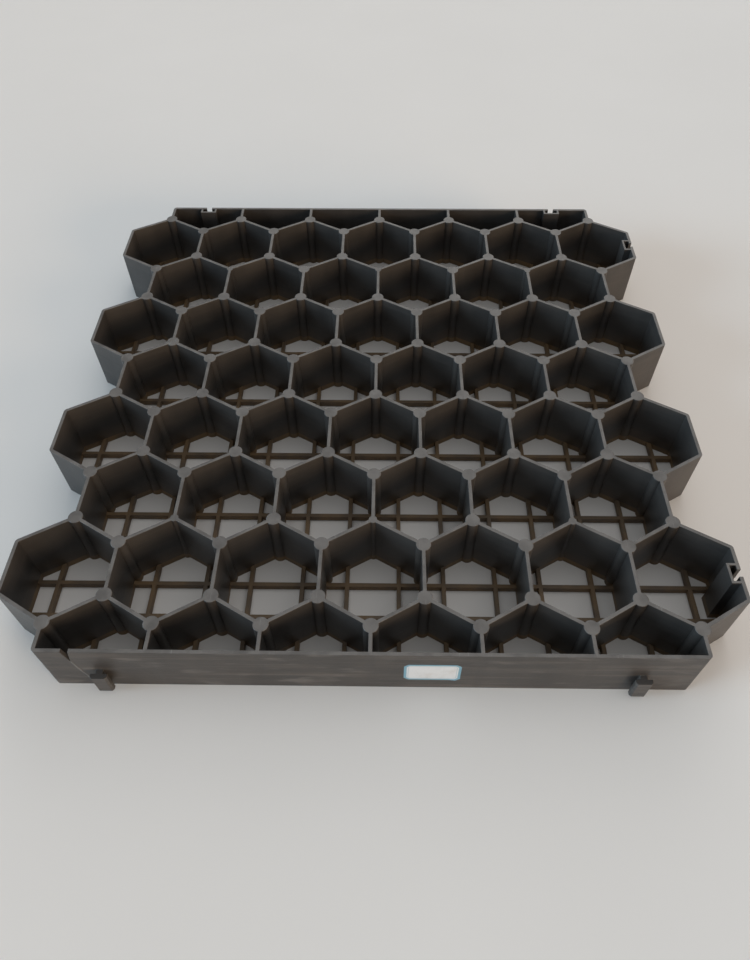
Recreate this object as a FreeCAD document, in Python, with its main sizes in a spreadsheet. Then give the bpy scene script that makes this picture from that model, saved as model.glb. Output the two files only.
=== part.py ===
import FreeCAD, Part
import math
import os
import re
import Sketcher

# Grass paver grid: one moulded plastic honeycomb panel that lies on the ground.
# Millimetres, +Z up. The origin is the panel's centre on its underside.

SIZES = {
    "cell_side": 41.0,            # hexagon side, measured on the wall centre lines
    "cell_wall": 2.5,
    "grid_height": 50.0,
    "corner_round": 3.0,          # outer corners of the panel, seen from above
    "post_diameter": 10.5,
    "slim_post_diameter": 6.0,
    "bar_width": 3.0,             # floor bars
    "bar_height": 4.8,
    "bar_rise": 0.5,              # the panel stands on its walls and posts, and the bars clear the ground
    "long_bar_offset": 19.0,      # front-to-back bars, from the middle of a wide row's cell
    "cross_bar_offset": 13.1,     # left-to-right bars, from the middle of a row
    "neck_width": 4.5,            # T-shaped locking tabs
    "head_width": 11.0,
    "head_thickness": 3.5,
    "head_chamfer": 1.2,
    "tab_height": 20.0,
    "tab_rise": 4.0,              # from the ground to the foot of a tab
    "lock_clearance": 0.5,        # between a tab and the next panel's socket
    "socket_wall": 1.8,
    "split_place": 21.3,          # damage in the front wall, from the wall's left end
    "split_width": 5.0,
    "split_depth": 14.0,
}

# Cells in a wide row (the rows between have one less), the number of wide rows, and the flats of a post.
WIDE_CELLS = 7
WIDE_ROWS = 4
POST_FLATS = 9

# Places as formulas of the sizes: x to the right, y to the back.
PITCH = "(cell_side * sqrt(3))"
ROW_STEP = "(cell_side * 3)"
LAST_X = "(%g * %s)" % ((WIDE_CELLS - 1) / 2, PITCH)
LAST_NARROW_X = "(%g * %s)" % ((WIDE_CELLS - 2) / 2, PITCH)
FIRST_X = "(-%s)" % LAST_X
FIRST_NARROW_X = "(-%s)" % LAST_NARROW_X
ROWS = ["(%g * %s)" % ((WIDE_ROWS - 1) / 2 - row, ROW_STEP) for row in range(WIDE_ROWS)]
BACK = "(%g * %s)" % (WIDE_ROWS / 2, ROW_STEP)
SIDE = "(%g * %s + cell_wall / 2)" % (WIDE_CELLS / 2, PITCH)
NARROW_SIDE = "(%s + cell_wall / 2)" % LAST_X
OPENING = "(%s - cell_wall)" % PITCH

doc = FreeCAD.newDocument("GrassPaverGrid")
sheet = doc.addObject("Spreadsheet::Sheet", "Sizes")
for line, (alias, size) in enumerate(SIZES.items(), start=1):
    sheet.set("A%d" % line, alias)
    sheet.set("B%d" % line, str(size))
    sheet.setAlias("B%d" % line, alias)
doc.recompute()


def formula(text):
    """Turns the size names in a formula into references to the sheet."""
    return re.sub(r"[a-z_]+", lambda word: "Sizes." + word[0] if word[0] in SIZES else word[0], text)


def value(text):
    """The present value of a formula."""
    return float(sheet.evalExpression(text))


def origin(body, role):
    """One of a body's own planes or axes."""
    return [item for item in body.Origin.OriginFeatures if item.Role == role][0]


def new_sketch(body, name, rise="0", plane="XY_Plane"):
    """An empty sketch on one of a body's planes, or raised above it. Its normal is its upward side."""
    sketch = body.newObject("Sketcher::SketchObject", name)
    sketch.AttachmentSupport = [(origin(body, plane), "")]
    sketch.MapMode = "FlatFace"
    sketch.setExpression("AttachmentOffset.Base.z", formula(rise))
    return sketch


def add_loop(sketch, corners):
    """Adds a closed outline with straight edges, and ties each corner to its two formulas."""
    spots = [FreeCAD.Vector(value(x), value(y), 0) for x, y in corners]
    ends = zip(spots, spots[1:] + spots[:1])
    edges = sketch.addGeometry([Part.LineSegment(start, end) for start, end in ends], False)
    rules = []
    for edge, following, spot in zip(edges, edges[1:] + edges[:1], spots):
        rules.append(Sketcher.Constraint("DistanceX", -1, 1, edge, 1, spot.x))
        rules.append(Sketcher.Constraint("DistanceY", -1, 1, edge, 1, spot.y))
        rules.append(Sketcher.Constraint("Coincident", edge, 2, following, 1))
    numbers = sketch.addConstraint(rules)
    for corner, first in zip(corners, numbers[::3]):
        for shift, text in enumerate(corner):
            sketch.setExpression("Constraints[%d]" % (first + shift), formula(text))


def add_box(sketch, left, front, right, back):
    """Adds a rectangle between two x and two y formulas."""
    add_loop(sketch, [(left, front), (right, front), (right, back), (left, back)])


def hexagon(x, y, across):
    """Corners of a hexagon that has a corner at its back and front."""
    half = "%s / 2" % across
    reach = "%s / sqrt(3)" % across
    return [
        (x, "%s - %s" % (y, reach)),
        ("%s + %s" % (x, half), "%s - %s / 2" % (y, reach)),
        ("%s + %s" % (x, half), "%s + %s / 2" % (y, reach)),
        (x, "%s + %s" % (y, reach)),
        ("%s - %s" % (x, half), "%s + %s / 2" % (y, reach)),
        ("%s - %s" % (x, half), "%s - %s / 2" % (y, reach)),
    ]


def pad(body, sketch, length):
    """Raises a sketch by a length."""
    feature = body.newObject("PartDesign::Pad", sketch.Name + "Pad")
    feature.Profile = sketch
    feature.setExpression("Length", formula(length))
    doc.recompute()
    return feature


def pocket(body, sketch, length="grid_height", upward=True):
    """Cuts a sketch through a length, and checks that it did."""
    before = body.Shape.Volume
    feature = body.newObject("PartDesign::Pocket", sketch.Name + "Pocket")
    feature.Profile = sketch
    feature.Reversed = upward
    feature.setExpression("Length", formula(length))
    doc.recompute()
    if body.Shape.Volume >= before:
        raise RuntimeError(feature.Name + " cuts nothing")
    return feature


def repeat(body, feature, count, step):
    """Repeats a feature to the right."""
    pattern = body.newObject("PartDesign::LinearPattern", feature.Name + "Pattern")
    pattern.Originals = [feature]
    pattern.Direction = (origin(body, "X_Axis"), [""])
    pattern.Mode = "Spacing"
    pattern.Occurrences = count
    pattern.setExpression("Offset", formula(step))
    body.Tip = pattern
    doc.recompute()


def outer_corner(edge):
    """True for an upright edge at one of the panel's outer corners."""
    box = edge.BoundBox
    upright = box.ZLength > value("grid_height") / 2
    at_side = abs(box.Center.x) > value(SIDE) - 0.01
    at_end = abs(box.Center.y) > value(BACK) - 0.01
    return upright and (at_side or at_end)


# Honeycomb: a plain rectangle, with the end cells of the wide rows standing out of it.
comb = doc.addObject("PartDesign::Body", "Honeycomb")
block = new_sketch(comb, "Block")
add_box(block, "-" + NARROW_SIDE, "-" + BACK, NARROW_SIDE, BACK)
pad(comb, block, "grid_height")

ends = new_sketch(comb, "EndCells")
for row in ROWS:
    for middle in (FIRST_X, LAST_X):
        add_loop(ends, hexagon(middle, row, "(%s + cell_wall)" % PITCH))
plain = pad(comb, ends, "grid_height")

corners = ["Edge%d" % (i + 1) for i, edge in enumerate(plain.Shape.Edges) if outer_corner(edge)]
rounding = comb.newObject("PartDesign::Fillet", "OuterCorners")
rounding.Base = (plain, corners)
rounding.setExpression("Radius", formula("corner_round"))
doc.recompute()

# Cells: whole hexagons in the rows, half hexagons against the back and front walls.
wide = new_sketch(comb, "WideCells")
for row in ROWS:
    add_loop(wide, hexagon(FIRST_X, row, OPENING))
repeat(comb, pocket(comb, wide), WIDE_CELLS, PITCH)

narrow = new_sketch(comb, "NarrowCells")
for row in ROWS[1:]:
    add_loop(narrow, hexagon(FIRST_NARROW_X, "(%s + %s / 2)" % (row, ROW_STEP), OPENING))
left = "%s - %s / 2" % (FIRST_NARROW_X, OPENING)
right = "%s + %s / 2" % (FIRST_NARROW_X, OPENING)
for way in ("", "-"):
    straight = "%s(%s - cell_wall)" % (way, BACK)
    shoulder = "%s(%s - %s / (2 * sqrt(3)))" % (way, BACK, OPENING)
    point = "%s(%s - %s / sqrt(3))" % (way, BACK, OPENING)
    left_edge = [(left, straight), (left, shoulder)]
    right_edge = [(right, shoulder), (right, straight)]
    add_loop(narrow, left_edge + [(FIRST_NARROW_X, point)] + right_edge)
repeat(comb, pocket(comb, narrow), WIDE_CELLS - 1, PITCH)


def turned(outline, turn):
    """Swaps x and y where a lock stands on the back or front wall."""
    return [(y, x) for x, y in outline] if turn else outline


def both_sides(middle, outline):
    """Completes one half of an outline, given as places and half widths, with its mirror image."""
    low = [(place, "%s - %s" % (middle, width)) for place, width in outline]
    high = [(place, "%s + %s" % (middle, width)) for place, width in reversed(outline)]
    return low + high


# Locks: sockets in the right and back walls, and tabs that fit them on the left and front walls.
locks = doc.addObject("PartDesign::Body", "Locks")
depth = "(head_thickness + 2 * lock_clearance)"
hollow_half = "(head_width / 2 + lock_clearance)"
slot_half = "(neck_width / 2 + lock_clearance)"
socket_half = "(%s + socket_wall)" % hollow_half
slots = new_sketch(comb, "SocketSlots")
sockets = new_sketch(locks, "Sockets")
hollows = new_sketch(locks, "SocketHollows")
tabs = new_sketch(locks, "Tabs", "tab_rise")
for face, place, turn in ((SIDE, ROWS[0], False), (BACK, LAST_NARROW_X, True)):
    root = "(%s - cell_wall / 2)" % face
    inside = "(%s - cell_wall)" % face
    hollow_end = "(%s - %s)" % (inside, depth)
    socket_end = "(%s - socket_wall)" % hollow_end
    outside = "(%s + cell_wall)" % face
    neck_end = "(-%s - cell_wall - lock_clearance)" % face
    head_end = "(%s - head_thickness)" % neck_end
    slot = [("(%s - cell_wall)" % inside, slot_half), (outside, slot_half)]
    socket = [(socket_end, socket_half), (root, socket_half)]
    hollow = [(hollow_end, hollow_half), (inside, hollow_half), (inside, slot_half), (outside, slot_half)]
    tab = [
        ("(-%s)" % root, "neck_width / 2"),
        (neck_end, "neck_width / 2"),
        (neck_end, "head_width / 2"),
        ("(%s + head_chamfer)" % head_end, "head_width / 2"),
        (head_end, "(head_width / 2 - head_chamfer)"),
    ]
    for way in ("", "-"):
        add_loop(slots, turned(both_sides(way + place, slot), turn))
        add_loop(sockets, turned(both_sides(way + place, socket), turn))
        add_loop(hollows, turned(both_sides(way + place, hollow), turn))
        add_loop(tabs, turned(both_sides(way + place, tab), turn))
pocket(comb, slots)
pad(locks, sockets, "grid_height")
pocket(locks, hollows)
pad(locks, tabs, "tab_height")

# Damage: the front wall is split, in a V that is open at the top.
split = new_sketch(comb, "Split", BACK, "XZ_Plane")
tip = "(split_place - %s)" % NARROW_SIDE
left = "%s - split_width / 2" % tip
right = "%s + split_width / 2" % tip
above = "(grid_height + cell_wall)"
mouth = [(right, "grid_height"), (right, above), (left, above), (left, "grid_height")]
add_loop(split, [(tip, "(grid_height - split_depth)")] + mouth)
pocket(comb, split, "cell_wall", upward=False)

# Floor bars, which cross in every cell.
across = doc.addObject("PartDesign::Body", "CrossBars")
cross = new_sketch(across, "CrossBarLines", "bar_rise")
short_offset = "(%s / 2 - cross_bar_offset)" % ROW_STEP
for row in ROWS:
    for wall, offset in ((SIDE, "cross_bar_offset"), (NARROW_SIDE, short_offset)):
        end = "(%s - cell_wall / 2)" % wall
        for way in ("+", "-"):
            middle = "(%s %s %s)" % (row, way, offset)
            add_box(cross, "-" + end, middle + " - bar_width / 2", end, middle + " + bar_width / 2")
pad(across, cross, "bar_height")

along = doc.addObject("PartDesign::Body", "LongBars")
lines = new_sketch(along, "LongBarLines", "bar_rise")
end = "(%s - cell_wall / 2)" % BACK
for way in ("+", "-"):
    middle = "(%s %s (%s / 2 - long_bar_offset))" % (FIRST_NARROW_X, way, PITCH)
    add_box(lines, middle + " - bar_width / 2", "-" + end, middle + " + bar_width / 2", end)
repeat(along, pad(along, lines, "bar_height"), WIDE_CELLS - 1, PITCH)

end_lines = new_sketch(along, "EndBarLines", "bar_rise")
half_length = "(cell_side - long_bar_offset / sqrt(3))"
for row in ROWS:
    for way in ("", "-"):
        middle = "%s(%s + long_bar_offset)" % (way, LAST_X)
        front = "%s - %s" % (row, half_length)
        back = "%s + %s" % (row, half_length)
        add_box(end_lines, middle + " - bar_width / 2", front, middle + " + bar_width / 2", back)
pad(along, end_lines, "bar_height")


# Posts where the walls meet, with a corner towards each wall. Every second post of two rows is a slim one.
def post(x, y, diameter, way):
    """One post as a many-sided prism with a corner at its back (way 1) or front (way -1)."""
    radius = diameter / 2
    turns = [math.radians(90 * way + 360 * corner / POST_FLATS) for corner in range(POST_FLATS + 1)]
    spots = [FreeCAD.Vector(x + radius * math.cos(turn), y + radius * math.sin(turn), 0) for turn in turns]
    return Part.Face(Part.makePolygon(spots)).extrude(FreeCAD.Vector(0, 0, value("grid_height")))


side = value("cell_side")
pitch = value(PITCH)
mixed_row = value(ROWS[0]) - side
prisms = []
for row in ROWS:
    for way in (1, -1):
        for cell in range(WIDE_CELLS):
            y = value(row) + way * side
            slim = cell % 2 == 1 and abs(abs(y) - mixed_row) < side / 4
            diameter = value("slim_post_diameter" if slim else "post_diameter")
            prisms.append(post(value(FIRST_X) + cell * pitch, y, diameter, way))
        for cell in range(WIDE_CELLS - 1):
            y = value(row) + way * side / 2
            prisms.append(post(value(FIRST_NARROW_X) + cell * pitch, y, value("post_diameter"), -way))
posts = doc.addObject("Part::Feature", "Posts")
posts.Shape = Part.Compound(prisms)


# The whole panel is one moulding. Its pieces are joined as copies without face names, which is faster.
def bare(shape):
    """A copy of a shape without the names of its faces and edges."""
    copy = Part.Shape()
    copy.importBrepFromString(shape.exportBrepToString())
    return copy


def joined(first, second):
    """Two shapes as one, with the faces that lie in one plane made whole."""
    return bare(bare(first).fuse(bare(second))).removeSplitter()


walls = joined(comb.Shape, Part.Compound(posts.Shape.Solids + locks.Shape.Solids))
lattice = joined(across.Shape, along.Shape)
panel = doc.addObject("Part::Feature", "PaverGrid")
panel.Label = "paver_grid"
panel.Shape = bare(bare(walls).fuse(bare(lattice)))
panel.Placement = FreeCAD.Placement()
doc.recompute()

for item in doc.Objects:
    if {"Invalid", "Error"} & set(item.State):
        raise RuntimeError("%s failed" % item.Name)
if panel.Shape.isNull() or not panel.Shape.isValid() or len(panel.Shape.Solids) != 1:
    raise RuntimeError("the panel is not one valid solid")

os.makedirs("parts", exist_ok=True)
panel.Shape.exportStep("parts/%s.step" % panel.Label)
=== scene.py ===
import math

import bmesh
import bpy
from mathutils import Matrix, Vector


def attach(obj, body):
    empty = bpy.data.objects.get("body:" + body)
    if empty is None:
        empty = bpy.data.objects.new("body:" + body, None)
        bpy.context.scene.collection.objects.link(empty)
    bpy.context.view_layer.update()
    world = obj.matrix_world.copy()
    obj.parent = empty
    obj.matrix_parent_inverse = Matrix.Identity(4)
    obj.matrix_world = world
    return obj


# Looks of a honeycomb paving panel: moulded plastic, a blank paper sticker, a pale floor and soft light.
# Metres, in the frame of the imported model: +Z up, the front wall towards -Y.

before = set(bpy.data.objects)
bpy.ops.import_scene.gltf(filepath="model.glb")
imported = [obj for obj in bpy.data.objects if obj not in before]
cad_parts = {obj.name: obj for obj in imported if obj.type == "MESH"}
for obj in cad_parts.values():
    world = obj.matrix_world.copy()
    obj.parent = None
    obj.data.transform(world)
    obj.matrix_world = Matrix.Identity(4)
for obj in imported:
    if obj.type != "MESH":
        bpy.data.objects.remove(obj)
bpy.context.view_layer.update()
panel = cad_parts["paver_grid"]
scene = bpy.context.scene

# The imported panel's own sizes, which the marks, the sleeves and the sticker go by.
HEIGHT = 0.050
FRONT = -0.246
CELL_SIDE = 0.041
PITCH = CELL_SIDE * math.sqrt(3)
NARROW_SIDE = 3 * PITCH
WIDE_SIDE = 3.5 * PITCH
# What lies this near to a face counts as on it.
SKIN = 0.0005


class Graph:
    """Short calls for building a material's nodes."""

    def __init__(self, name):
        self.material = bpy.data.materials.new(name)
        self.material.use_nodes = True
        self.tree = self.material.node_tree
        self.shader = self.tree.nodes["Principled BSDF"]
        self.place = self.add("ShaderNodeTexCoord").outputs["Object"]

    def put(self, socket, source):
        """Links a socket to another one, or sets it to a constant."""
        if isinstance(source, bpy.types.NodeSocket):
            self.tree.links.new(source, socket)
        else:
            socket.default_value = source

    def shade(self, name, source):
        """Sets one of the shader's inputs."""
        self.put(self.shader.inputs[name], source)

    def add(self, kind, inputs=(), **settings):
        """Adds a node, with its inputs in order."""
        made = self.tree.nodes.new(kind)
        for key, setting in settings.items():
            setattr(made, key, setting)
        for socket, source in zip(made.inputs, inputs):
            self.put(socket, source)
        return made

    def calc(self, operation, *values):
        """The result of one operation on numbers."""
        return self.add("ShaderNodeMath", values, operation=operation).outputs[0]

    def times(self, product, *others):
        """The product of two or more numbers."""
        for other in others:
            product = self.calc("MULTIPLY", product, other)
        return product

    def ramp(self, value, start, end, low=0.0, high=1.0):
        """Goes smoothly from low to high while value goes from start to end."""
        kind = "SMOOTHSTEP"
        made = self.add("ShaderNodeMapRange", (value, start, end, low, high), interpolation_type=kind)
        return made.outputs[0]

    def fade(self, value, start, end, high=1.0):
        """Goes smoothly from high to 0 while value goes from start to end."""
        return self.ramp(value, start, end, high, 0.0)

    def split(self, vector):
        """The three parts of a vector."""
        return self.add("ShaderNodeSeparateXYZ", (vector,)).outputs[:]

    def noise(self, scale, detail=3.0, stretch=(1, 1, 1)):
        """Soft noise from 0 to 1, with blobs about 1 / (scale * stretch) metres wide."""
        sized = self.add("ShaderNodeMapping")
        self.put(sized.inputs["Vector"], self.place)
        sized.inputs["Scale"].default_value = stretch
        made = self.add("ShaderNodeTexNoise")
        self.put(made.inputs["Vector"], sized.outputs[0])
        made.inputs["Scale"].default_value = scale
        made.inputs["Detail"].default_value = detail
        return made.outputs[0]

    def blend(self, share, first, second):
        """A colour between two colours."""
        made = self.add("ShaderNodeMix", data_type="RGBA")
        self.put(made.inputs[0], share)
        self.put(made.inputs[6], first)
        self.put(made.inputs[7], second)
        return made.outputs[2]

    def bump(self, height, strength, distance, under=None):
        """A normal that follows a height."""
        made = self.add("ShaderNodeBump")
        made.inputs["Strength"].default_value = strength
        made.inputs["Distance"].default_value = distance
        self.put(made.inputs["Height"], height)
        if under is not None:
            self.put(made.inputs["Normal"], under)
        return made.outputs[0]


# Colours of the plastic and of the marks on it.
PLASTIC_DARK = (0.031, 0.0285, 0.027, 1)
PLASTIC_LIGHT = (0.057, 0.0515, 0.0475, 1)
STAIN = (0.019, 0.018, 0.018, 1)
STREAK = (0.102, 0.088, 0.077, 1)
SMEAR = (0.150, 0.140, 0.132, 1)
SINK_MARK = (0.036, 0.034, 0.033, 1)
# The lighter grey of the upper faces: partly rubbed wear, partly painted highlight.
WEAR_AND_HIGHLIGHT = (0.136, 0.127, 0.120, 1)
SCRATCH = (0.23, 0.225, 0.22, 1)
DUST = (0.220, 0.135, 0.060, 1)
CRACK = (0.19, 0.185, 0.18, 1)
PLASTIC_IOR = 1.49
EDGE_RADIUS = 0.0005

# The dust ends just above the floor bars, and fades out up the foot of the walls. Its side limit is past
# the middle of the outermost walls.
BARS_END = (0.0050, 0.0060)
FOOT_END = (0.004, 0.022)
DUST_SIDE = 0.0006

# The crack: where it would meet the ground, how it leans, how it wanders, its half width, and its two ends.
CRACK_X = -0.18566
CRACK_LEAN = -0.204
CRACK_WANDER = 0.0022
CRACK_EDGE = (0.0002, 0.0009)
CRACK_LOW = (0.009, 0.014)
CRACK_HIGH = (0.0355, 0.0375)

# The ring that injection left on one post.
GATE_X = -2.5 * PITCH
GATE_Y = CELL_SIDE
GATE_RADIUS = 0.0030
GATE_LINE = (0.0003, 0.0007)
GATE_DOT = (0.0005, 0.0010)


def dust_mask(g, long_wall):
    """Dust on the floor bars, and a little on the foot of the inner walls. The outer faces have none."""
    x, y, z = g.split(g.place)
    from_narrow = g.calc("PINGPONG", y, 1.5 * CELL_SIDE)
    # The open sides zigzag between the ends of the narrow rows and those of the wide rows.
    zigzag = g.add("ShaderNodeMapRange", (from_narrow, CELL_SIDE / 2, CELL_SIDE, NARROW_SIDE, WIDE_SIDE))
    within = g.calc("LESS_THAN", g.calc("ABSOLUTE", x), g.calc("ADD", zigzag.outputs[0], DUST_SIDE))
    off_walls = g.calc("SUBTRACT", 1.0, long_wall)
    amount = g.calc("MAXIMUM", g.fade(z, *BARS_END, 0.9), g.fade(z, *FOOT_END, 0.30))
    patches = g.ramp(g.noise(60, 4.0), 0.3, 0.7, 0.45, 1.0)
    return g.times(amount, patches, within, off_walls)


def crack_mask(g):
    """A fine crack that runs on from the tip of the split, down to the left tab."""
    x, y, z = g.split(g.place)
    on_front = g.calc("LESS_THAN", y, FRONT + SKIN)
    wander = g.times(g.calc("SUBTRACT", g.noise(160, 2.0), 0.5), CRACK_WANDER)
    line = g.calc("ADD", g.calc("MULTIPLY_ADD", z, CRACK_LEAN, CRACK_X), wander)
    gap = g.calc("ABSOLUTE", g.calc("SUBTRACT", x, line))
    return g.times(g.fade(gap, *CRACK_EDGE), on_front, g.ramp(z, *CRACK_LOW), g.fade(z, *CRACK_HIGH))


def gate_mask(g):
    """A small ring with a dot in it."""
    x, y, _ = g.split(g.place)
    across = g.calc("POWER", g.calc("SUBTRACT", x, GATE_X), 2.0)
    along = g.calc("POWER", g.calc("SUBTRACT", y, GATE_Y), 2.0)
    reach = g.calc("SQRT", g.calc("ADD", across, along))
    ring = g.fade(g.calc("ABSOLUTE", g.calc("SUBTRACT", reach, GATE_RADIUS)), *GATE_LINE)
    return g.calc("MAXIMUM", ring, g.fade(reach, *GATE_DOT))


def plastic():
    """Black recycled plastic as it comes from the mould, scuffed on top with a painted highlight on the
    upper faces, and dusty at the foot.
    """
    g = Graph("moulded_plastic")
    x, y, z = g.split(g.place)
    rise = g.split(g.add("ShaderNodeNewGeometry").outputs["Normal"])[2]
    upright = g.fade(g.calc("ABSOLUTE", rise), 0.3, 0.6)
    top = g.times(g.ramp(rise, 0.5, 0.9), g.ramp(z, HEIGHT - 0.002, HEIGHT - SKIN))
    long_wall = g.calc("GREATER_THAN", g.calc("ABSOLUTE", y), -FRONT - SKIN)

    # Uneven colour, dark stains, and flow lines and smears along the walls.
    clouds = g.noise(26, 4.0)
    grain = g.noise(1500, 2.0)
    speckle = g.noise(420, 2.0)
    stains = g.noise(1, 4.0, (48, 48, 14))
    flow = g.noise(1, 4.0, (11, 11, 210))
    streaks = g.times(g.ramp(flow, 0.45, 0.75), upright, g.calc("MULTIPLY_ADD", long_wall, 0.75, 0.25))
    smears = g.times(g.ramp(g.noise(1, 3.0, (34, 34, 150)), 0.56, 0.76), long_wall, upright)
    colour = g.blend(clouds, PLASTIC_DARK, PLASTIC_LIGHT)
    colour = g.blend(g.fade(stains, 0.3, 0.7, 0.5), colour, STAIN)
    colour = g.blend(g.times(streaks, 0.5), colour, STREAK)
    colour = g.blend(g.times(smears, 0.45), colour, SMEAR)

    # The long walls have faint sink marks where the cross walls meet them.
    along = g.calc("PINGPONG", x, PITCH / 2)
    sink = g.times(g.fade(along, 0.0012, 0.0045), long_wall)
    colour = g.blend(g.times(sink, 0.35), colour, SINK_MARK)

    # The upper faces are painted a lighter grey, partly rubbed wear and partly a painted highlight for the
    # light on the tops, and they are finely scratched.
    wear_and_highlight = g.times(top, g.ramp(g.noise(95, 5.0), 0.25, 0.7, 0.45, 1.0))
    colour = g.blend(wear_and_highlight, colour, WEAR_AND_HIGHLIGHT)
    scratch = g.times(top, g.ramp(g.noise(1, 2.0, (900, 60, 60)), 0.66, 0.74), 0.5)
    colour = g.blend(scratch, colour, SCRATCH)

    dust = dust_mask(g, long_wall)
    colour = g.blend(dust, colour, DUST)
    crack = crack_mask(g)
    colour = g.blend(g.times(crack, 0.55), colour, CRACK)
    g.shade("Base Color", colour)

    dullness = g.calc("MULTIPLY_ADD", clouds, 0.16, 0.29)
    for mark, amount in ((grain, 0.10), (dust, 0.22), (wear_and_highlight, 0.08)):
        dullness = g.calc("MULTIPLY_ADD", mark, amount, dullness)
    g.shade("Roughness", dullness)
    g.shade("IOR", PLASTIC_IOR)

    soft_edges = g.add("ShaderNodeBevel", samples=6)
    soft_edges.inputs["Radius"].default_value = EDGE_RADIUS
    normal = g.bump(clouds, 0.35, 0.0012, soft_edges.outputs[0])
    normal = g.bump(g.calc("SUBTRACT", streaks, sink), 0.20, 0.0004, normal)
    normal = g.bump(speckle, 0.20, 0.0003, normal)
    normal = g.bump(grain, 0.22, 0.0002, normal)
    normal = g.bump(g.calc("ADD", g.times(gate_mask(g), top), crack), 0.8, 0.0005, normal)
    g.shade("Normal", normal)
    return g.material


moulded = plastic()
panel.data.materials.clear()
panel.data.materials.append(moulded)

# Round sleeves over the many-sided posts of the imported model, one mesh. Rows are counted in cell sides.
POST_RADIUS = 0.00527
SLIM_POST_RADIUS = 0.00302
SLEEVE_SIDES = 36
SLEEVE_INSET = 0.00002
WIDE_ROWS = (4.5, 1.5, -1.5, -4.5)
SLIM_LEVEL = 3.5


def post_places():
    """The x, y and radius of every post."""
    for row in WIDE_ROWS:
        for way in (1, -1):
            level = row + way
            for column in range(-3, 4):
                slim = abs(level) == SLIM_LEVEL and column % 2 == 0
                yield column * PITCH, level * CELL_SIDE, SLIM_POST_RADIUS if slim else POST_RADIUS
            for column in range(6):
                yield (column - 2.5) * PITCH, (row + way / 2) * CELL_SIDE, POST_RADIUS


def finished_mesh(name, made):
    """Turns an edited mesh into a stored one."""
    mesh = bpy.data.meshes.new(name)
    made.to_mesh(mesh)
    made.free()
    return mesh


def sleeves_mesh():
    """A closed round cylinder for every post, with flat ends and a smooth side."""
    made = bmesh.new()
    length = HEIGHT - 2 * SLEEVE_INSET
    for x, y, radius in post_places():
        bmesh.ops.create_cone(made, cap_ends=True, segments=SLEEVE_SIDES, radius1=radius, radius2=radius,
                              depth=length, matrix=Matrix.Translation((x, y, HEIGHT / 2)))
    for face in made.faces:
        face.smooth = len(face.verts) == 4
    for edge in made.edges:
        edge.smooth = all(face.smooth for face in edge.link_faces)
    return finished_mesh("post_sleeves", made)


sleeves = bpy.data.objects.new("post_sleeves", sleeves_mesh())
scene.collection.objects.link(sleeves)
sleeves.data.materials.append(moulded)
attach(sleeves, "root")

# The sticker: thin paper with clipped corners, stuck on the front wall, one corner coming loose.
STICKER_WIDTH = 0.0372
STICKER_HEIGHT = 0.0236
STICKER_REACH = (STICKER_WIDTH + STICKER_HEIGHT) / 2
STICKER_CLIP = 0.003
STICKER_THICK = 0.00018
STICKER_PLACE = (0.0403, FRONT, 0.0248)
STICKER_GAP = 0.00004
STICKER_RIPPLE = 0.00005
STICKER_LIFT = 0.006
LOOSE_FROM = 0.62
PAPER_DARK = (0.50, 0.54, 0.58, 1)
PAPER_LIGHT = (0.60, 0.64, 0.68, 1)
PAPER_GRIME = (0.40, 0.40, 0.39, 1)
PAPER_BLUE = (0.085, 0.26, 0.37, 1)


def sticker_mesh():
    """A fine grid cut to the sticker's outline, x to the right and z up, facing -Y."""
    made = bmesh.new()
    bmesh.ops.create_grid(made, x_segments=36, y_segments=24, size=0.5)
    for vert in made.verts:
        u = vert.co.x * STICKER_WIDTH
        v = vert.co.y * STICKER_HEIGHT
        over = abs(u) + abs(v) - (STICKER_REACH - STICKER_CLIP)
        if over > 0:
            u -= math.copysign(over / 2, u)
            v -= math.copysign(over / 2, v)
        ripple = STICKER_RIPPLE * (1 + math.sin(u * 520 + 1.0) * math.sin(v * 610 + 0.4))
        loose = max(0.0, (u - v) / STICKER_REACH - LOOSE_FROM)
        vert.co = Vector((u, -STICKER_GAP - ripple - STICKER_LIFT * loose ** 2, v))
    bmesh.ops.recalc_face_normals(made, faces=made.faces)
    return finished_mesh("sticker", made)


def paper():
    """Pale paper with a blue band and a thin blue line round its edge, a little grubby."""
    g = Graph("sticker_paper")
    x, _, z = g.split(g.place)
    across = g.calc("ABSOLUTE", x)
    up = g.calc("ABSOLUTE", z)
    # How far a place is from the nearest edge, the clipped corners included.
    inset = g.calc("MINIMUM", g.calc("SUBTRACT", STICKER_WIDTH / 2, across),
                   g.calc("SUBTRACT", STICKER_HEIGHT / 2, up))
    corner = g.calc("SUBTRACT", STICKER_REACH - STICKER_CLIP, g.calc("ADD", across, up))
    inset = g.calc("MINIMUM", inset, g.times(corner, math.sqrt(0.5)))
    band = g.fade(inset, 0.0015, 0.0021)
    thin = g.times(g.ramp(inset, 0.0025, 0.0027), g.fade(inset, 0.0029, 0.0031, 0.6))
    fibre = g.noise(900, 4.0)
    grime = g.ramp(g.noise(120, 4.0), 0.45, 0.75)
    colour = g.blend(fibre, PAPER_DARK, PAPER_LIGHT)
    colour = g.blend(g.times(grime, 0.35), colour, PAPER_GRIME)
    colour = g.blend(g.times(g.calc("MAXIMUM", band, thin), 0.85), colour, PAPER_BLUE)
    g.shade("Base Color", colour)
    g.shade("Roughness", g.calc("MULTIPLY_ADD", fibre, 0.2, 0.5))
    g.shade("Normal", g.bump(fibre, 0.15, 0.0001))
    return g.material


sticker = bpy.data.objects.new("sticker", sticker_mesh())
scene.collection.objects.link(sticker)
sticker.location = STICKER_PLACE
sheet = sticker.modifiers.new("thickness", "SOLIDIFY")
sheet.thickness = STICKER_THICK
sheet.offset = 1.0
sticker.data.materials.append(paper())
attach(sticker, "root")

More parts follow.
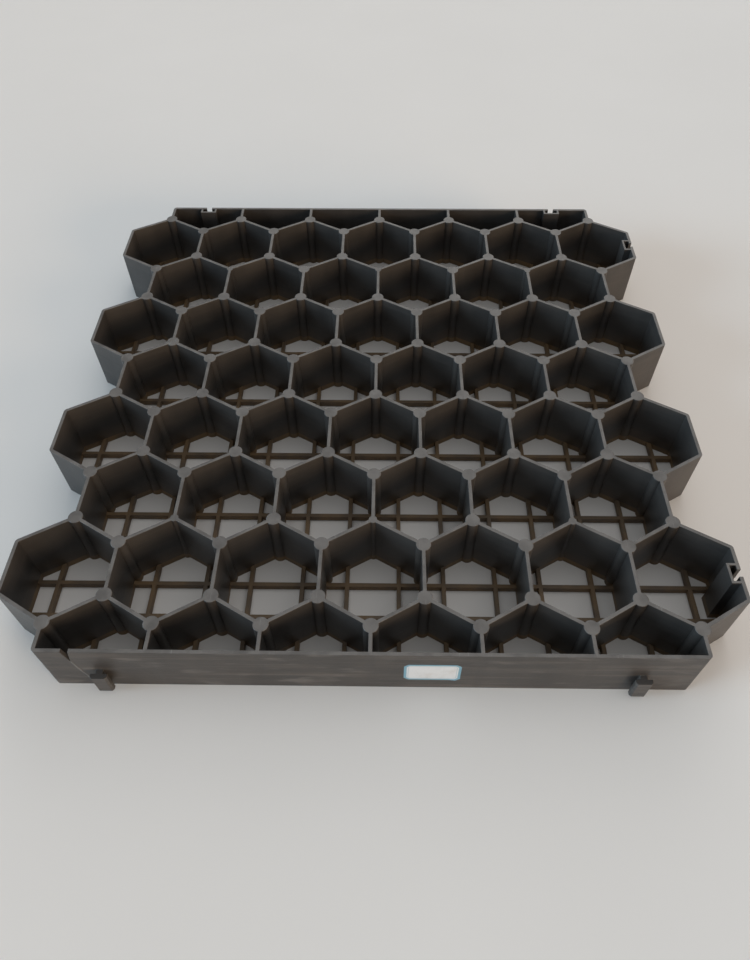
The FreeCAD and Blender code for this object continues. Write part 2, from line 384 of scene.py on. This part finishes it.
# The floor, which is not part of the object.
FLOOR_HALF = 8.0
FLOOR_DROP = 0.0002
FLOOR_DARK = (0.70, 0.68, 0.66, 1)
FLOOR_LIGHT = (0.74, 0.72, 0.70, 1)


def pale_floor():
    """A plain pale floor with a very faint unevenness."""
    g = Graph("pale_floor")
    g.shade("Base Color", g.blend(g.noise(5, 3.0), FLOOR_DARK, FLOOR_LIGHT))
    g.shade("Roughness", 0.85)
    return g.material


floor_mesh = bpy.data.meshes.new("floor")
signs = ((-1, -1), (1, -1), (1, 1), (-1, 1))
corners = [(side * FLOOR_HALF, end * FLOOR_HALF, 0) for side, end in signs]
floor_mesh.from_pydata(corners, [], [(0, 1, 2, 3)])
floor_mesh.materials.append(pale_floor())
floor = bpy.data.objects.new("floor", floor_mesh)
floor.location.z = -FLOOR_DROP
scene.collection.objects.link(floor)

# Soft light: a wide sky that is cooler on the left and warmer on the right, and four wide, far lamps.
SKY_LEFT = (0.84, 0.93, 1.0, 1)
SKY_RIGHT = (1.0, 0.94, 0.87, 1)
SKY_STRENGTH = 0.38


def far_lamp(name, source, strength, width, colour):
    """A lamp far away towards source, as wide in the sky as the given degrees."""
    lamp = bpy.data.lights.new(name, "SUN")
    lamp.energy = strength
    lamp.angle = math.radians(width)
    lamp.color = colour
    made = bpy.data.objects.new(name, lamp)
    made.rotation_euler = (-Vector(source)).to_track_quat("-Z", "Y").to_euler()
    scene.collection.objects.link(made)


far_lamp("veiled_sun", (0.5, 0.4, 2.0), 0.6, 70, (1.0, 1.0, 1.0))
far_lamp("left_window", (-2.8, -0.7, 0.60), 2.8, 32, (0.58, 0.81, 1.0))
far_lamp("right_lamp", (2.2, -2.0, 0.50), 2.5, 26, (1.0, 0.74, 0.50))
far_lamp("back_fill", (0.4, 2.8, 1.3), 0.65, 40, (1.0, 0.98, 0.95))


def sky():
    """An even pale world, with a faint change of colour from left to right."""
    world = bpy.data.worlds.new("studio")
    world.use_nodes = True
    tree = world.node_tree
    way = tree.nodes.new("ShaderNodeTexCoord").outputs["Generated"]
    parts = tree.nodes.new("ShaderNodeSeparateXYZ")
    tree.links.new(way, parts.inputs[0])
    share = tree.nodes.new("ShaderNodeMapRange")
    share.inputs["From Min"].default_value = -1.0
    tree.links.new(parts.outputs["X"], share.inputs["Value"])
    tint = tree.nodes.new("ShaderNodeMix")
    tint.data_type = "RGBA"
    tint.inputs[6].default_value = SKY_LEFT
    tint.inputs[7].default_value = SKY_RIGHT
    tree.links.new(share.outputs[0], tint.inputs[0])
    background = tree.nodes["Background"]
    tree.links.new(tint.outputs[2], background.inputs["Color"])
    background.inputs["Strength"].default_value = SKY_STRENGTH
    return world


scene.world = sky()

# The camera, as fitted to the photo's wall joints, for a picture 750 by 960.
FOCAL_PIXELS = 744.65
MIDDLE = (379.27, 453.95)
PICTURE = (750, 960)
CAMERA_PLACE = (0.0096486, -0.4414544, 0.4916125)
RIGHT = Vector((0.99991709, 0.01246327, -0.00323656))
UP = Vector((-0.00764280, 0.77672457, 0.62979403))
AHEAD = Vector((-0.01036322, 0.62971708, -0.77675543))

lens = bpy.data.cameras.new("camera")
lens.sensor_width = 36.0
lens.lens = FOCAL_PIXELS * lens.sensor_width / PICTURE[1]
lens.shift_x = (PICTURE[0] / 2 - MIDDLE[0]) / PICTURE[1]
lens.shift_y = (MIDDLE[1] - PICTURE[1] / 2) / PICTURE[1]
lens.clip_start = 0.01
camera = bpy.data.objects.new("camera", lens)
turn = Matrix((RIGHT, UP, -AHEAD)).transposed().to_4x4()
camera.matrix_world = Matrix.Translation(CAMERA_PLACE) @ turn
scene.collection.objects.link(camera)
scene.camera = camera

scene.view_settings.view_transform = "Standard"
